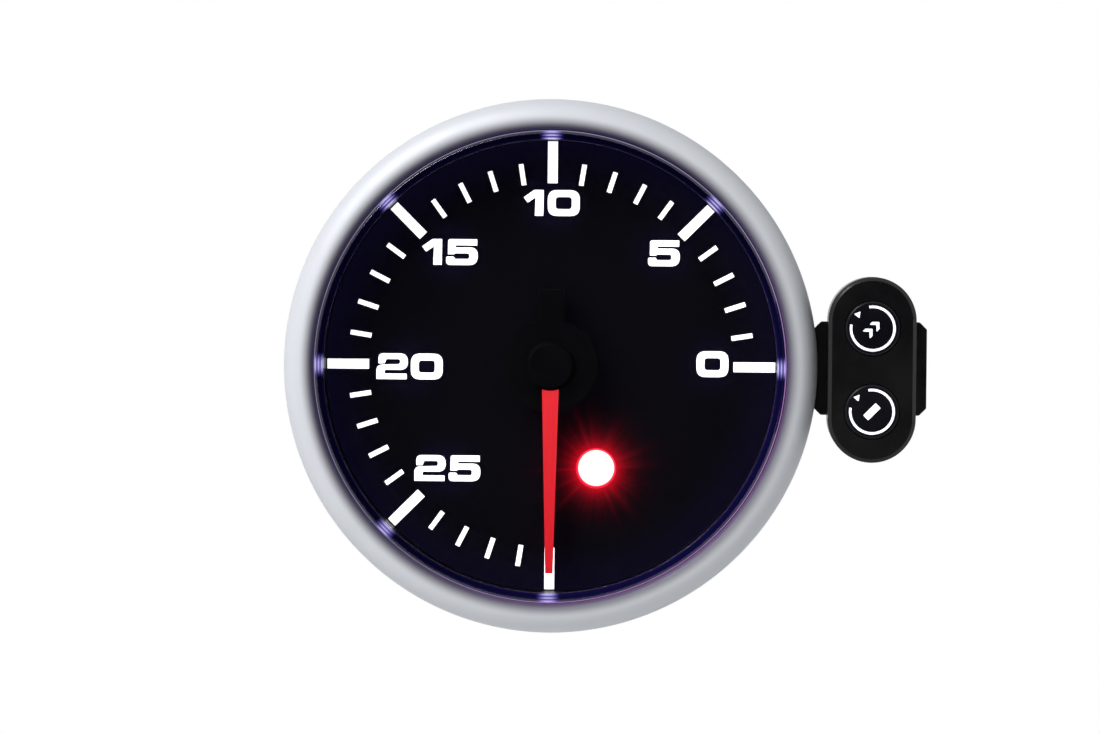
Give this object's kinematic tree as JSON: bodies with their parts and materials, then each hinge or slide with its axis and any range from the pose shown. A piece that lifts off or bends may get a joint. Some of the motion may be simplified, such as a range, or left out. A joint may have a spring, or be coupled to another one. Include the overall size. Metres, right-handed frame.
{
  "type": "vacuum gauge",
  "caption": "Round lit panel gauge for engine vacuum, with a stepper-driven red pointer, a warning lamp, rear studs and a small two-button remote pad.",
  "frame": {"origin": "where the dial's axis crosses the front of the panel, on the back of the panel gasket", "axes": "+Y along the can's axis towards the back of the panel, +Z towards twelve o'clock on the dial, +X to the reader's right; the dial faces -Y"},
  "size_m": [0.0796, 0.0472, 0.066],
  "materials": {
    "satin_silver": "satin",
    "clear_lens": "polished",
    "black_rubber": "matt",
    "dial_black": "satin",
    "lit_white": "lit from behind",
    "clear_acrylic": "polished",
    "white_plastic": "moulded",
    "lamp_yellow": "moulded",
    "lamp_red": "lit lens",
    "board_green": "solder mask",
    "chip_black": "moulded",
    "capacitor_silver": "drawn can",
    "gold_pin": "plated",
    "copper_wire": "enamelled winding",
    "steel": "zinc plated",
    "magnet_grey": "sintered",
    "red_acrylic": "lit from its root",
    "can_black": "fine grain",
    "pad_black": "fine satin",
    "button_black": "smooth satin",
    "foam_black": "closed-cell foam"
  },
  "bodies": {
    "root": {"bezel": "satin_silver", "lens": "clear_lens", "lens_seal": "black_rubber", "dial_ring": "dial_black", "dial_face": "dial_black", "scale_marks": "lit_white", "light_guide": "clear_acrylic", "light_box": "white_plastic", "backlight_leds": "lamp_yellow", "warning_led": "lamp_red", "circuit_board": "board_green", "control_chip": "chip_black", "board_capacitors": "capacitor_silver", "board_header": "chip_black", "header_pins": "gold_pin", "connector_board": "board_green", "power_socket": "white_plastic", "sensor_socket": "white_plastic", "remote_socket": "white_plastic", "socket_pins": "gold_pin", "motor_front_case": "white_plastic", "motor_rear_case": "white_plastic", "motor_stator": "steel", "motor_coils": "copper_wire", "motor_pins": "gold_pin", "gauge_can": "can_black", "panel_gasket": "black_rubber", "rear_cover": "can_black", "cover_screws": "steel", "mounting_studs": "steel", "remote_tape": "foam_black", "remote_bracket": "pad_black", "remote_case": "pad_black", "remote_cover": "pad_black", "remote_board": "board_green", "remote_switches": "chip_black"},
    "rotor": {"rotor_shaft": "white_plastic", "rotor_magnet": "magnet_grey"},
    "idler": {"idler_wheel": "white_plastic"},
    "pointer": {"pointer_blade": "red_acrylic", "pointer_hub": "dial_black", "pointer_shaft": "steel", "output_wheel": "white_plastic"},
    "peak_key": {"peak_button": "button_black", "peak_plunger": "white_plastic"},
    "warning_key": {"warning_button": "button_black", "warning_plunger": "white_plastic"}
  },
  "joints": [
    {"name": "rotor_spin", "type": "hinge", "parent": "root", "child": "rotor", "pos_m": [0, 0, -0.01288], "axis": [0, 1, 0], "range_deg": [0, 48600]},
    {"name": "idler_spin", "type": "hinge", "parent": "root", "child": "idler", "pos_m": [0, 0, -0.00768], "axis": [0, 1, 0], "range_deg": [-4050, 0]},
    {"name": "pointer_sweep", "type": "hinge", "parent": "root", "child": "pointer", "pos_m": [0, 0, 0], "axis": [0, 1, 0], "range_deg": [0, 270]},
    {"name": "peak_press", "type": "slide", "parent": "root", "child": "peak_key", "axis": [0, 1, 0], "range_m": [0, 0.0003], "stiffness_N_per_m": 2000},
    {"name": "warning_press", "type": "slide", "parent": "root", "child": "warning_key", "axis": [0, 1, 0], "range_m": [0, 0.0003], "stiffness_N_per_m": 2000}
  ],
  "couplings": [
    {"joint": "idler_spin", "follows": "rotor_spin", "ratio": -0.083333},
    {"joint": "pointer_sweep", "follows": "rotor_spin", "ratio": 0.0055556}
  ]
}
